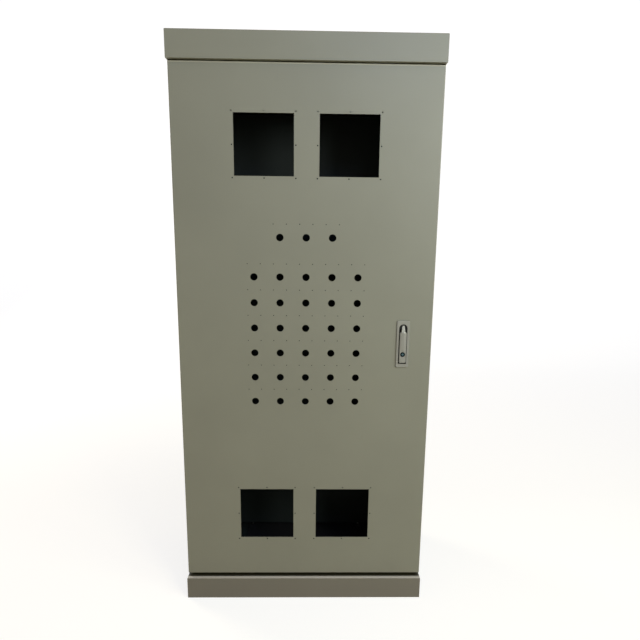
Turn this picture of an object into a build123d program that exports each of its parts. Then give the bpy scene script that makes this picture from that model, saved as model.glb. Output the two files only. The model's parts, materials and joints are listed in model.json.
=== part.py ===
from build123d import *
import math
import os

# Floor-standing sheet-steel utility cabinet, in millimetres.
# X runs to the right, Y to the back and Z up. The origin is on the floor, in the middle of the plinth.

# Overall sizes
cabinet_width = 800
cabinet_height = 1800
cabinet_depth = 400
side_reveal = 2
ledge = 12
rear_margin = 5
body_sheet = 1.5
bend = 3

# Plinth and roof cap
plinth_height = 75
plinth_sheet = 2.5
plinth_lip = 50
anchor_inset = 26
anchor_radius = 7
cap_height = 76.5
cap_lip = 14

# Door leaf
door_sheet = 1.5
door_depth = 25
door_flange = 25
door_plinth_gap = 11
door_cap_gap = 2.5
frame_gap = 4
frame_overlap = 38
rear_flange = 30
gasket_inset = 11
gasket_width = 10
gasket_gap = 0.3
stiffener_inset = 42.5
stiffener_crown = 12
stiffener_foot = 8
stiffener_depth = 12

# Punched holes of the door
window_side = 177
window_offset = 126
window_inset_share = 0.138
window_fixing_square = 188
window_fixing_radius = 2.2
grid_pitch = 80
grid_columns = 5
grid_rows = 6
grid_rise = 4.5
lamp_row_rise = 120
lamp_count = 3
device_hole_radius = 11.2
label_rise = 40
label_spacing = 40
label_hole_radius = 1.6
label_hole_sides = 8

# Hinges
hinge_count = 3
hinge_end_inset = 170
hinge_edge_inset = 8
hinge_face_inset = 13
hinge_pin_radius = 2.5
hinge_knuckle_radius = 4.6
hinge_knuckle_length = 20
hinge_leaf_sheet = 2.5
hinge_leaf_margin = 3
hinge_lug_width = 4
hinge_notch_floor = 4
hinge_end_play = 0.4

# Inside the body
cutout_width = 400
cutout_depth = 170
gland_margin = 25
gland_sheet = 2
plate_sheet = 2
plate_side_gap = 15
plate_floor_gap = 20
plate_head_gap = 43
plate_fold = 15
plate_stand_off = 105
plate_bolt_inset = 45
angle_sheet = 2
angle_leg = 70

# Fasteners
hexagon_sides = 6
bolt_radius = 4
bolt_head_radius = 7.5
bolt_head_height = 5
screw_radius = 2.5
screw_head_radius = 4.6
screw_head_height = 3
rear_screw_rows = 3
stud_length = 18
stud_end_inset = 45
door_stud_inset = 75
washer_radius = 9
washer_height = 1.6

# Lock: escutcheon, dish and swing handle
lock_edge_inset = 91.5
lock_drop = 3.5
escutcheon_width = 40
escutcheon_length = 150
escutcheon_proud = 4
escutcheon_corner = 4
escutcheon_round = 1.2
recess_width = 26
recess_length = 128
dish_depth = 14
dish_floor = 3
dish_wall = 3.5
handle_width = 21
handle_end_gap = 4.5
handle_thickness = 6
handle_sink = 0.5
handle_round = 1.4
handle_corner = 3
handle_shoulder_drop = 9.5
handle_neck_width = 12
handle_tip_reach = 8.5
handle_tip_width = 5
handle_tip_thickness = 1.2
pivot_depth = 6
pivot_radius = 2
pivot_boss_radius = 4.2
lug_width = 8
cheek_width = 3.6
button_rise = 32
button_radius = 7.8
button_length = 5.4
plug_radius = 3.4
plug_length = 3
key_slot_width = 1.1
key_slot_length = 4.6
spring_sheet = 0.6
spring_width = 8
spring_span = 36
spring_rise = 58

# Gear latch behind the lock
gear_module = 1.5
gear_teeth = 16
gear_width = 6
gear_backlash = 0.24
pressure_angle = 20
involute_steps = 4
spindle_radius = 6
spindle_disc_radius = 11
spindle_disc_height = 3
clamp_wall = 9
clamp_hole_floor = 4
latch_plate_sheet = 2
latch_plate_width = 60
latch_plate_height = 80
pillar_radius = 3
pillar_offset = 32
rod_width = 8
rod_thickness = 4
rod_back = 38
rod_end_gap = 1
rack_tail = 15
handle_turn = 90
half_turn = 180
guide_width = 26
guide_height = 18
guide_back_wall = 4
guide_foot = 4
guide_foot_margin = 6
guide_end_inset = 45
guide_mid_share = 0.5
clip_width = 1.2
clip_height = 1.5

# Clearances and cuts
running_gap = 0.05
slide_gap = 0.3
fit_gap = 0.25
overrun = 5

# Planes and heights worked out from the sizes above
front = -cabinet_depth / 2
door_face = front + ledge
door_inside = door_face + door_sheet
door_back = door_face + door_depth
frame_face = door_back + frame_gap
frame_inside = frame_face + body_sheet
body_back = cabinet_depth / 2 - rear_margin
body_half = cabinet_width / 2 - side_reveal
side_inside = body_half - body_sheet
cap_bottom = cabinet_height - cap_height
body_top = cabinet_height - body_sheet
floor_top = plinth_height + body_sheet
roof_under = body_top - body_sheet
side_top = body_top - body_sheet / 2
door_half = body_half
door_bottom = plinth_height + door_plinth_gap
door_top = cap_bottom - door_cap_gap
door_middle = (door_bottom + door_top) / 2
window_inset = (door_top - door_bottom) * window_inset_share
grid_top = door_middle + grid_rise + grid_pitch * (grid_rows - 1) / 2
opening_half = door_half - frame_overlap
opening_bottom = door_bottom + frame_overlap
opening_top = door_top - frame_overlap
lock_offset = door_half - lock_edge_inset
lock_height = door_middle - lock_drop
rim = door_face - escutcheon_proud
dish_bed = rim + dish_depth
dish_back = dish_bed + dish_floor
recess_radius = recess_width / 2
recess_top = lock_height + recess_length / 2
recess_bottom = lock_height - recess_length / 2
spindle_height = recess_top - recess_radius
rod_face = door_face + rod_back - rod_thickness
rod_rear = door_face + rod_back
gear_radius = gear_module * gear_teeth / 2
gear_middle = (rod_face + rod_rear) / 2
latch_face = gear_middle + gear_width / 2 + slide_gap
latch_rear = latch_face + latch_plate_sheet
handle_under = rim + handle_sink
handle_front = handle_under - handle_thickness
pivot_face = handle_under + pivot_depth
rod_travel = gear_radius * math.radians(handle_turn)


def block(x, y, z):
    """Box between the lower and upper limits given for each axis."""
    spans = (x, y, z)
    size = [high - low for low, high in spans]
    middle = [(low + high) / 2 for low, high in spans]
    return Pos(*middle) * Box(*size)


def along_x(sketch, low, high):
    """Prism of a sketch drawn in Y and Z."""
    plane = Plane((low, 0, 0), x_dir=(0, 1, 0), z_dir=(1, 0, 0))
    return extrude(plane * sketch, amount=high - low)


def along_y(sketch, low, high):
    """Prism of a sketch drawn in X and Z."""
    plane = Plane((0, high, 0), x_dir=(1, 0, 0), z_dir=(0, -1, 0))
    return extrude(plane * sketch, amount=high - low)


def along_z(sketch, low, high):
    """Prism of a sketch drawn in X and Y."""
    return extrude(Pos(0, 0, low) * sketch, amount=high - low)


def inset(span, amount):
    """Both limits of a span moved inwards."""
    return (span[0] + amount, span[1] - amount)


def rounded_block(x, y, z, axis, last, radius):
    """Box whose first or last face along an axis has rounded edges."""
    box = block(x, y, z)
    face = box.faces().sort_by(axis)[-1 if last else 0]
    return fillet(face.edges(), radius)


def folded_strip(points, sheet):
    """Section of a sheet folded along a line, with the sheet on the right of the line."""
    line = FilletPolyline(*points, radius=bend)
    return make_face(offset(line, amount=sheet, side=Side.RIGHT, closed=True).edges())


def bolts(places, direction, radius, head_radius, head_height, length):
    """Hexagon bolts, each with its head's seat at a place and its head towards a direction."""
    group = []
    for place in places:
        seat = Plane(origin=place, z_dir=direction)
        head = extrude(seat * RegularPolygon(head_radius, hexagon_sides), amount=head_height)
        shank = extrude(seat * Circle(radius), amount=-length)
        group.append(head + shank)
    return Compound(children=group)


def drill(part, places, direction, radius):
    """Round holes through the sheet at each place."""
    depth = body_sheet + overrun
    for place in places:
        part -= extrude(Plane(origin=place, z_dir=direction) * Circle(radius), amount=depth, both=True)
    return part


def mirrored_x(part):
    """The same piece on the other side of the cabinet."""
    return mirror(part, about=Plane.YZ)


def corners(half_x, low, high):
    """Four points of a rectangle in X and another axis."""
    return [(side * half_x, level) for side in (-1, 1) for level in (low, high)]


# Places shared by the pieces that meet there
anchor_x = cabinet_width / 2 - anchor_inset
anchor_y = cabinet_depth / 2 - anchor_inset
plinth_bolt_x = body_half - plinth_lip / 2
plinth_bolt_y = [frame_inside + plinth_lip / 2, body_back - plinth_lip / 2]
plinth_bolt_places = [(x, y, floor_top) for x, y in corners(plinth_bolt_x, *plinth_bolt_y)]
cap_bolt_places = [(x, y, roof_under) for x, y in corners(plinth_bolt_x, *plinth_bolt_y)]
cutout_middle = (frame_face + body_back) / 2
gland_half_x = cutout_width / 2 + gland_margin
gland_half_y = cutout_depth / 2 + gland_margin
gland_x = gland_half_x - gland_margin / 2
gland_y = gland_half_y - gland_margin / 2
gland_top = floor_top + gland_sheet
gland_screw_places = [
    (x, cutout_middle + y, gland_top) for x, y in corners(gland_x, -gland_y, gland_y)
]
rear_screw_x = body_half - rear_flange / 2
rear_low = plinth_height + rear_flange / 2
rear_high = cap_bottom - rear_flange / 2
rear_screw_step = (rear_high - rear_low) / (rear_screw_rows - 1)
rear_screw_heights = [rear_low + row * rear_screw_step for row in range(rear_screw_rows)]
rear_panel_face = body_back + body_sheet
rear_screw_places = [
    (side * rear_screw_x, rear_panel_face, z) for side in (-1, 1) for z in rear_screw_heights
]
angle_face = body_back - plate_stand_off
plate_face = angle_face - plate_sheet
plate_half = opening_half - plate_side_gap
plate_bolt_x = (side_inside - angle_leg + plate_half) / 2
plate_low = floor_top + plate_floor_gap
plate_high = opening_top - plate_head_gap
plate_bolt_places = [
    (x, plate_face, z)
    for x, z in corners(plate_bolt_x, plate_low + plate_bolt_inset, plate_high - plate_bolt_inset)
]
hinge_x = -door_half + hinge_edge_inset
hinge_y = door_face + hinge_face_inset
hinge_low = door_bottom + hinge_end_inset
hinge_step = (door_top - door_bottom - 2 * hinge_end_inset) / (hinge_count - 1)
hinge_heights = [hinge_low + place * hinge_step for place in range(hinge_count)]
rod_middle = gear_radius + gear_module + rod_width / 2
pillar_x = gear_radius + gear_module + rod_width + slide_gap + pillar_radius
pillar_places = [(x, z) for x, z in corners(pillar_x, -pillar_offset, pillar_offset)]


def plinth():
    """Welded ring of folded channel that the body stands on, with floor anchor holes."""
    x = (-cabinet_width / 2, cabinet_width / 2)
    y = (-cabinet_depth / 2, cabinet_depth / 2)
    z = (0, plinth_height)
    ring = rounded_block(x, y, z, Axis.Z, True, bend)
    inner = [inset(span, plinth_sheet) for span in (x, y, z)]
    hollow = rounded_block(*inner, Axis.Z, True, bend - plinth_sheet)
    mouth = block(inset(x, plinth_lip), inset(y, plinth_lip), inset(z, -overrun))
    ring = ring - hollow - mouth
    for px, py in corners(anchor_x, -anchor_y, anchor_y):
        ring -= Pos(px, py, 0) * Cylinder(anchor_radius, plinth_sheet + overrun)
    places = [(x, y, plinth_height) for x, y, z in plinth_bolt_places]
    return drill(ring, places, (0, 0, 1), bolt_radius + fit_gap)


def roof_cap():
    """Folded pan that covers the body's top and stands ahead of the door."""
    x = (-cabinet_width / 2, cabinet_width / 2)
    y = (-cabinet_depth / 2, cabinet_depth / 2)
    z = (cap_bottom, cabinet_height)
    pan = rounded_block(x, y, z, Axis.Z, True, bend)
    inner = [inset(span, body_sheet) for span in (x, y, z)]
    hollow = rounded_block(*inner, Axis.Z, True, bend - body_sheet)
    side_lip = cabinet_width / 2 - body_half
    mouth_x = inset(x, side_lip)
    mouth_y = (y[0] + cap_lip, body_back + body_sheet + fit_gap)
    mouth = block(mouth_x, mouth_y, (cap_bottom - overrun, cap_bottom + cap_lip))
    return pan - hollow - mouth


def side_panel():
    """Left wall, folded in at the front as a door frame and at the back for the rear panel."""
    points = [
        (-opening_half, frame_face),
        (-body_half, frame_face),
        (-body_half, body_back),
        (-body_half + rear_flange, body_back),
    ]
    return along_z(folded_strip(points, body_sheet), plinth_height, side_top)


def end_panel(level, inner, front_edge, rear_edge):
    """Floor or top sheet between the side walls, with a front and a rear flange."""
    low, high = sorted((level, inner))
    sheet = block((-opening_half, opening_half), (frame_inside, body_back - body_sheet), (low, high))
    sheet += block((-side_inside, side_inside), (frame_face + bend, body_back - bend), (low, high))
    front_z = sorted((level, front_edge))
    rear_z = sorted((level, rear_edge))
    rear_half = body_half - rear_flange
    front_fold = block((-opening_half, opening_half), (frame_face, frame_inside), front_z)
    rear_fold = block((-rear_half, rear_half), (body_back - body_sheet, body_back), rear_z)
    return sheet + front_fold + rear_fold


def floor_panel():
    """Bottom sheet with the sill, the rear flange and the cable cut-out."""
    panel = end_panel(plinth_height, floor_top, opening_bottom, plinth_height + rear_flange)
    cut = Pos(0, cutout_middle) * RectangleRounded(cutout_width, cutout_depth, bend)
    panel -= along_z(cut, plinth_height - overrun, floor_top + overrun)
    panel = drill(panel, plinth_bolt_places, (0, 0, 1), bolt_radius + fit_gap)
    return drill(panel, gland_screw_places, (0, 0, 1), screw_radius + fit_gap)


def top_panel():
    """Top sheet with the header above the door opening."""
    panel = end_panel(body_top, roof_under, opening_top, cap_bottom - rear_flange)
    return drill(panel, cap_bolt_places, (0, 0, 1), bolt_radius + fit_gap)


def rear_panel():
    """Flat sheet screwed on to the rear flanges."""
    sheet = block((-body_half, body_half), (body_back, rear_panel_face), (plinth_height, cap_bottom))
    edge = sheet.edges().filter_by(Axis.Y)
    return drill(fillet(edge, bend), rear_screw_places, (0, 1, 0), screw_radius + fit_gap)


def gland_plate():
    """Removable cover of the cable cut-out in the floor."""
    outline = Pos(0, cutout_middle) * RectangleRounded(2 * gland_half_x, 2 * gland_half_y, bend)
    plate = along_z(outline, floor_top, gland_top)
    return drill(plate, gland_screw_places, (0, 0, 1), screw_radius + fit_gap)


def support_angle():
    """Left upright that carries the mounting plate."""
    points = [
        (-side_inside + angle_leg, angle_face),
        (-side_inside, angle_face),
        (-side_inside, angle_face + angle_leg),
    ]
    angle = along_z(folded_strip(points, angle_sheet), floor_top, roof_under)
    places = [place for place in plate_bolt_places if place[0] < 0]
    return drill(angle, places, (0, 1, 0), bolt_radius + fit_gap)


def mounting_plate():
    """Sheet that carries the equipment, folded back along its upper and lower edge."""
    points = [
        (plate_face + plate_fold, plate_low),
        (plate_face, plate_low),
        (plate_face, plate_high),
        (plate_face + plate_fold, plate_high),
    ]
    inner = plate_half - angle_leg
    folds = along_x(folded_strip(points, plate_sheet), -inner, inner)
    sheet = block((-plate_half, plate_half), (plate_face, angle_face), (plate_low + bend, plate_high - bend))
    return drill(sheet + folds, plate_bolt_places, (0, 1, 0), bolt_radius + fit_gap)


def earth_stud(place, direction):
    """Threaded earth stud with a washer and a nut."""
    base = Plane(origin=place, z_dir=direction)
    washer = extrude(base * Circle(washer_radius), amount=washer_height)
    hexagon = base * RegularPolygon(bolt_head_radius, hexagon_sides)
    nut = extrude(hexagon, amount=washer_height + bolt_head_height)
    return washer + nut + extrude(base * Circle(bolt_radius), amount=stud_length)


def device_places():
    """Centres of the round device holes: the grid, then the short row above it."""
    grid_half = (grid_columns - 1) / 2
    lamp_half = (lamp_count - 1) / 2
    places = []
    for row in range(grid_rows):
        for column in range(grid_columns):
            places.append(((column - grid_half) * grid_pitch, grid_top - row * grid_pitch))
    for column in range(lamp_count):
        places.append(((column - lamp_half) * grid_pitch, grid_top + lamp_row_rise))
    return places


def window_places():
    """Centres of the four square windows."""
    return corners(window_offset, door_bottom + window_inset, door_top - window_inset)


def punched_holes():
    """Every hole punched through the door's face, as one sketch in X and Z."""
    holes = []
    for x, z in device_places():
        holes.append(Pos(x, z) * Circle(device_hole_radius))
        for side in (-1, 1):
            place = Pos(x + side * label_spacing / 2, z + label_rise)
            holes.append(place * RegularPolygon(label_hole_radius, label_hole_sides))
    half = window_fixing_square / 2
    for x, z in window_places():
        holes.append(Pos(x, z) * Rectangle(window_side, window_side))
        for across in (-1, 0, 1):
            for up in (-1, 0, 1):
                if across or up:
                    holes.append(Pos(x + across * half, z + up * half) * Circle(window_fixing_radius))
    holes.append(Pos(lock_offset, lock_height) * tub_outline(fit_gap))
    return Sketch() + holes


def door_panel():
    """Folded door leaf with deep edges, a rear flange, its punched holes and the hinge notches."""
    x = (-door_half, door_half)
    y = (door_face, door_back)
    z = (door_bottom, door_top)
    leaf = rounded_block(x, y, z, Axis.Y, False, bend)
    inner = [inset(span, door_sheet) for span in (x, y, z)]
    hollow = rounded_block(*inner, Axis.Y, False, bend - door_sheet)
    mouth = block(inset(x, door_flange), (door_face + bend, door_back + overrun), inset(z, door_flange))
    leaf = leaf - hollow - mouth
    leaf -= along_y(punched_holes(), door_face - overrun, door_inside + overrun)
    half = hinge_knuckle_length / 2 + hinge_end_play
    for height in hinge_heights:
        notch_x = (-door_half - overrun, hinge_x + hinge_lug_width / 2 + slide_gap)
        notch_y = (door_inside + hinge_notch_floor, door_back + overrun)
        leaf -= block(notch_x, notch_y, (height - half, height + half))
    return leaf


def door_gasket():
    """Foam seal on the door's rear flange."""
    y = (door_back, frame_face - gasket_gap)
    x = (-door_half, door_half)
    z = (door_bottom, door_top)
    outer = block(inset(x, gasket_inset), y, inset(z, gasket_inset))
    inner_edge = gasket_inset + gasket_width
    return outer - block(inset(x, inner_edge), inset(y, -overrun), inset(z, inner_edge))


def door_stiffener():
    """Hat section along the door's inside, between the lock and the door's right edge."""
    foot = door_inside
    crown = door_inside + stiffener_depth
    middle = door_half - stiffener_inset
    half = stiffener_crown / 2
    points = [
        (middle + half + stiffener_foot, foot),
        (middle + half, foot),
        (middle + half, crown),
        (middle - half, crown),
        (middle - half, foot),
        (middle - half - stiffener_foot, foot),
    ]
    low, high = inset((door_bottom, door_top), door_flange)
    return along_z(folded_strip(points, door_sheet), low, high)


def hinge_frame_lug(height):
    """Knuckle on an arm that is welded to the front of the door frame."""
    half = hinge_knuckle_length / 2
    knuckle = Pos(hinge_x, hinge_y) * Circle(hinge_knuckle_radius)
    arm_length = frame_face - hinge_y
    arm = Pos(hinge_x, hinge_y + arm_length / 2) * Rectangle(hinge_lug_width, arm_length)
    bore = Pos(hinge_x, hinge_y) * Circle(hinge_pin_radius + running_gap)
    return along_z(knuckle + arm - bore, height - half, height + half)


def hinge_door_leaf(height):
    """Two knuckles on a plate against the inside of the door's edge."""
    inner = hinge_knuckle_length / 2 + hinge_end_play
    outer = inner + hinge_knuckle_length
    plate_x = -door_half + door_sheet
    plate_y = (door_inside + hinge_leaf_margin, door_back - door_sheet - hinge_leaf_margin)
    plate = block((plate_x, plate_x + hinge_leaf_sheet), plate_y, (height - outer, height + outer))
    barrel = Pos(hinge_x, hinge_y) * Circle(hinge_knuckle_radius)
    bridge_length = hinge_x - plate_x
    bridge = Pos(hinge_x - bridge_length / 2, hinge_y) * Rectangle(bridge_length, hinge_lug_width)
    leaf = plate + along_z(barrel + bridge, height - outer, height + outer)
    bore = Pos(hinge_x, hinge_y) * Circle(hinge_pin_radius + running_gap)
    leaf -= along_z(bore, height - outer - overrun, height + outer + overrun)
    gap_x = (plate_x - overrun, hinge_x + hinge_knuckle_radius + overrun)
    gap_y = (door_inside + hinge_notch_floor, door_back)
    return leaf - block(gap_x, gap_y, (height - inner, height + inner))


def hinge_pin(height):
    """Pin through the three knuckles, with a small head below."""
    reach = hinge_knuckle_length * 3 / 2 + hinge_end_play
    place = Pos(hinge_x, hinge_y)
    shaft = along_z(place * Circle(hinge_pin_radius), height - reach - hinge_end_play, height + reach)
    head_top = height - reach - hinge_end_play
    return shaft + along_z(place * Circle(hinge_knuckle_radius), head_top - hinge_leaf_sheet, head_top)


def tub_outline(gap):
    """Outline of the lock's tub behind its rim, about the lock's centre, with a gap all round."""
    width = recess_width + 2 * (dish_wall + gap)
    length = recess_length + 2 * (dish_wall + gap)
    return RectangleRounded(width, length, escutcheon_corner)


def recess_outline():
    """Recess of the dish about the lock's centre: square at its lower end, round at its upper end."""
    straight = recess_length - recess_radius
    lower = Pos(0, -recess_radius / 2) * Rectangle(recess_width, straight)
    return lower + Pos(0, recess_length / 2 - recess_radius) * Circle(recess_radius)


def lock_escutcheon():
    """Rim on the door's face with the dish that goes through the door."""
    at_lock = Pos(lock_offset, lock_height)
    rim_outline = at_lock * RectangleRounded(escutcheon_width, escutcheon_length, escutcheon_corner)
    rim_plate = along_y(rim_outline, rim, door_face)
    rim_plate = fillet(rim_plate.faces().sort_by(Axis.Y)[0].edges(), escutcheon_round)
    body = rim_plate + along_y(at_lock * tub_outline(0), door_face, dish_back)
    body -= along_y(at_lock * recess_outline(), rim - overrun, dish_bed)
    bore = Pos(lock_offset, spindle_height) * Circle(spindle_radius + running_gap)
    body -= along_y(bore, dish_bed - overrun, dish_back + overrun)
    for x, z in lock_screw_places():
        body -= along_y(Pos(x, z) * Circle(screw_radius + fit_gap), dish_bed + dish_floor / 2, dish_back)
    return body


def lock_screw_places():
    """Two screws that pull the dish against the latch's base plate."""
    z = spindle_height - pillar_offset
    return [(lock_offset + side * recess_radius / 2, z) for side in (-1, 1)]


def lock_clamp():
    """Ring between the door's inside and the latch, around the dish."""
    width = recess_width + 2 * (dish_wall + clamp_wall)
    length = recess_length + 2 * (dish_wall + clamp_wall)
    at_lock = Pos(lock_offset, lock_height)
    ring = at_lock * (RectangleRounded(width, length, escutcheon_corner) - tub_outline(fit_gap))
    clamp = along_y(ring, door_inside, dish_back)
    for x, z in pillar_places:
        hole = Pos(lock_offset + x, spindle_height + z) * Circle(screw_radius + fit_gap)
        clamp -= along_y(hole, door_inside + clamp_hole_floor, dish_back + overrun)
    return clamp


def spindle():
    """Shaft that the handle turns, with a fork for the handle's pivot pin."""
    at_axis = Pos(lock_offset, spindle_height)
    disc_back = dish_bed - slide_gap
    disc_face = disc_back - spindle_disc_height
    shaft = along_y(at_axis * Circle(spindle_radius), disc_face, latch_rear + clip_height + clip_width)
    disc = along_y(at_axis * Circle(spindle_disc_radius), disc_face, disc_back)
    post_depth = disc_face - pivot_face
    cheek = Pos(pivot_face, spindle_height) * Circle(pivot_boss_radius)
    cheek += Pos(pivot_face + post_depth / 2, spindle_height) * Rectangle(post_depth, 2 * pivot_boss_radius)
    cheek -= Pos(pivot_face, spindle_height) * Circle(pivot_radius + running_gap)
    body = shaft + disc
    near = lug_width / 2 + slide_gap
    for low, high in ((-near - cheek_width, -near), (near, near + cheek_width)):
        body += along_x(cheek, lock_offset + low, lock_offset + high)
    groove = at_axis * (Circle(spindle_radius + overrun) - Circle(spindle_radius - clip_width))
    return body - along_y(groove, latch_rear + slide_gap, latch_rear + slide_gap + clip_width)


def spindle_clip():
    """Snap ring that keeps the spindle from coming forward."""
    ring = Circle(spindle_radius + clip_height) - Circle(spindle_radius - clip_width + running_gap)
    mouth = Pos(0, spindle_radius) * Rectangle(spindle_radius, 2 * spindle_radius)
    at_axis = Pos(lock_offset, spindle_height)
    return along_y(at_axis * (ring - mouth), latch_rear + slide_gap, latch_rear + slide_gap + clip_width)


def handle_outline():
    """Swing handle seen from the front: a bar with a neck and a narrow tip, in X and Z."""
    foot = recess_bottom + handle_end_gap
    shoulder = spindle_height - handle_shoulder_drop
    tip = spindle_height + handle_tip_reach
    half = handle_width / 2
    neck = handle_neck_width / 2
    point = handle_tip_width / 2
    right = [(half, foot), (half, shoulder - neck), (neck, shoulder), (point, tip)]
    left = [(-x, z) for x, z in reversed(right)]
    outline = make_face(Polyline(*right, *left, close=True))
    lower = outline.vertices().sort_by(Axis.Y)[:2]
    return Pos(lock_offset, 0) * fillet(lower, handle_corner)


def handle_lever():
    """Swing handle with a sloping nose, a pivot lug and the bore of the push button."""
    bar = along_y(handle_outline(), handle_front, handle_under)
    shoulder = spindle_height - handle_shoulder_drop
    tip = spindle_height + handle_tip_reach
    tip_front = handle_under - handle_tip_thickness
    slope = Polyline(
        (handle_front, shoulder),
        (tip_front, tip),
        (handle_front - overrun, tip + overrun),
        (handle_front - overrun, shoulder),
        close=True,
    )
    half = handle_width / 2
    bar -= along_x(make_face(slope), lock_offset - half, lock_offset + half)
    face = bar.faces().sort_by(Axis.Y)[0]
    long_edges = face.edges().filter_by(Axis.Z)
    bar = fillet(long_edges, handle_round)
    lug = Pos(pivot_face, spindle_height) * Circle(pivot_boss_radius)
    lug += Pos(pivot_face - pivot_depth / 2, spindle_height) * Rectangle(pivot_depth, 2 * pivot_boss_radius)
    bar += along_x(lug, lock_offset - lug_width / 2, lock_offset + lug_width / 2)
    bore = Pos(pivot_face, spindle_height) * Circle(pivot_radius + running_gap)
    bar -= along_x(bore, lock_offset - lug_width, lock_offset + lug_width)
    button = Pos(lock_offset, button_height()) * Circle(button_radius + running_gap)
    return bar - along_y(button, handle_front - overrun, handle_under + overrun)


def button_height():
    """Height of the push button's axis."""
    return recess_bottom + button_rise


def handle_pin():
    """Pivot pin of the handle, in the spindle's fork."""
    reach = lug_width / 2 + slide_gap + cheek_width
    pin = Pos(pivot_face, spindle_height) * Circle(pivot_radius)
    return along_x(pin, lock_offset - reach, lock_offset + reach)


def lock_button():
    """Push button that frees the handle, with the bore of the key plug."""
    at_button = Pos(lock_offset, button_height())
    back = handle_front + button_length
    body = along_y(at_button * Circle(button_radius), handle_front, back)
    body = chamfer(body.faces().sort_by(Axis.Y)[0].edges(), handle_round / 2)
    plug_hole = at_button * Circle(plug_radius + running_gap)
    return body - along_y(plug_hole, handle_front - overrun, handle_front + plug_length)


def key_plug():
    """Key plug with its slot."""
    at_button = Pos(lock_offset, button_height())
    plug = along_y(at_button * Circle(plug_radius), handle_front, handle_front + plug_length - running_gap)
    slot = at_button * Rectangle(key_slot_width, key_slot_length)
    return plug - along_y(slot, handle_front - overrun, handle_front + plug_length / 2)


def lift_spring():
    """Leaf spring in the dish that pushes the handle out."""
    middle = recess_bottom + spring_rise
    low = middle - spring_span / 2
    high = middle + spring_span / 2
    apex = handle_under + slide_gap
    inner = ThreePointArc((dish_bed, low), (apex + spring_sheet, middle), (dish_bed, high))
    outer = ThreePointArc(
        (dish_bed, low - spring_sheet), (apex, middle), (dish_bed, high + spring_sheet)
    )
    ends = [Line(inner @ 0, outer @ 0), Line(inner @ 1, outer @ 1)]
    section = make_face([*inner.edges(), *outer.edges(), *ends[0].edges(), *ends[1].edges()])
    return along_x(section, lock_offset - spring_width / 2, lock_offset + spring_width / 2)


def involute_point(base, radius, turn):
    """Point of an involute at a radius, turned about the gear's axis."""
    roll = math.sqrt(max((radius / base) ** 2 - 1, 0))
    angle = turn + roll - math.atan(roll)
    return (radius * math.cos(angle), radius * math.sin(angle))


def pinion_outline():
    """Involute spur gear with a tooth on the X axis, thinned for backlash."""
    tip = gear_radius + gear_module
    root = gear_radius - gear_module - gear_backlash
    base = gear_radius * math.cos(math.radians(pressure_angle))
    roll = math.tan(math.radians(pressure_angle))
    half_pitch = math.pi / (2 * gear_teeth) - gear_backlash / (2 * gear_radius)
    start = -half_pitch - (roll - math.radians(pressure_angle))
    steps = [base + (tip - base) * step / (involute_steps - 1) for step in range(involute_steps)]
    low_flank = [involute_point(base, radius, start) for radius in steps]
    foot = (root * math.cos(start), root * math.sin(start))
    low_side = [foot, *low_flank]
    tooth = [*low_side, *[(x, -z) for x, z in reversed(low_side)]]
    outline = []
    for index in range(gear_teeth):
        turn = 2 * math.pi * index / gear_teeth
        cosine, sine = math.cos(turn), math.sin(turn)
        outline += [(x * cosine - z * sine, x * sine + z * cosine) for x, z in tooth]
    return make_face(Polyline(*outline, close=True))


def latch_pinion():
    """Gear on the spindle that drives both rods."""
    outline = pinion_outline() - Circle(spindle_radius + running_gap)
    at_axis = Pos(lock_offset, spindle_height)
    return along_y(at_axis * outline, gear_middle - gear_width / 2, gear_middle + gear_width / 2)


def rack_outline(low, high):
    """Rack teeth between two heights beside the pinion's right side, with a gap level with the spindle."""
    pitch = math.pi * gear_module
    lean = gear_module * math.tan(math.radians(pressure_angle))
    half = pitch / 4
    root = gear_radius + gear_module + gear_backlash
    tip = gear_radius - gear_module + gear_backlash
    root_half = half + lean + gear_backlash * math.tan(math.radians(pressure_angle))
    tip_half = half - lean
    teeth = []
    first = math.ceil(low / pitch - 1 / 2)
    last = math.floor(high / pitch - 1 / 2)
    for index in range(first, last + 1):
        middle = (index + 1 / 2) * pitch
        points = [
            (root, middle - root_half),
            (tip, middle - tip_half),
            (tip, middle + tip_half),
            (root, middle + root_half),
        ]
        teeth.append(make_face(Polyline(*points, close=True)))
    return teeth


def lock_rod(upper):
    """Flat rod with rack teeth: the upper one runs on the pinion's right, the lower one on its left."""
    way = 1 if upper else -1
    end = opening_top - rod_end_gap if upper else opening_bottom + rod_end_gap
    inner = gear_radius + gear_module + gear_backlash
    outer = gear_radius + gear_module + rod_width
    tail = -rack_tail
    head = way * (end - spindle_height)
    bar = Pos((inner + outer) / 2, (tail + head) / 2) * Rectangle(outer - inner, head - tail)
    outline = Sketch() + [bar, *rack_outline(tail + gear_module, rod_travel + rack_tail)]
    rod = along_y(outline, rod_face, rod_rear)
    if not upper:
        rod = Rot(0, half_turn, 0) * rod
    return Pos(lock_offset, 0, spindle_height) * rod


def latch_plate(face, hole_radius):
    """One of the two plates that the latch's pillars hold apart."""
    outline = RectangleRounded(latch_plate_width, latch_plate_height, escutcheon_corner)
    outline -= Circle(hole_radius)
    for x, z in pillar_places:
        outline -= Pos(x, z) * Circle(screw_radius + fit_gap)
    return along_y(Pos(lock_offset, spindle_height) * outline, face, face + latch_plate_sheet)


def latch_base_plate():
    """Plate behind the dish, with the holes of the lock screws."""
    plate = latch_plate(dish_back, spindle_radius + fit_gap)
    for x, z in lock_screw_places():
        hole = Pos(x, z) * Circle(screw_radius + fit_gap)
        plate -= along_y(hole, dish_back - overrun, dish_back + latch_plate_sheet + overrun)
    return plate


def latch_pillars():
    """Four sleeves between the latch's plates."""
    ring = Circle(pillar_radius) - Circle(screw_radius + running_gap)
    group = []
    for x, z in pillar_places:
        place = Pos(lock_offset + x, spindle_height + z)
        group.append(along_y(place * ring, dish_back + latch_plate_sheet, latch_face))
    return Compound(children=group)


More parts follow.
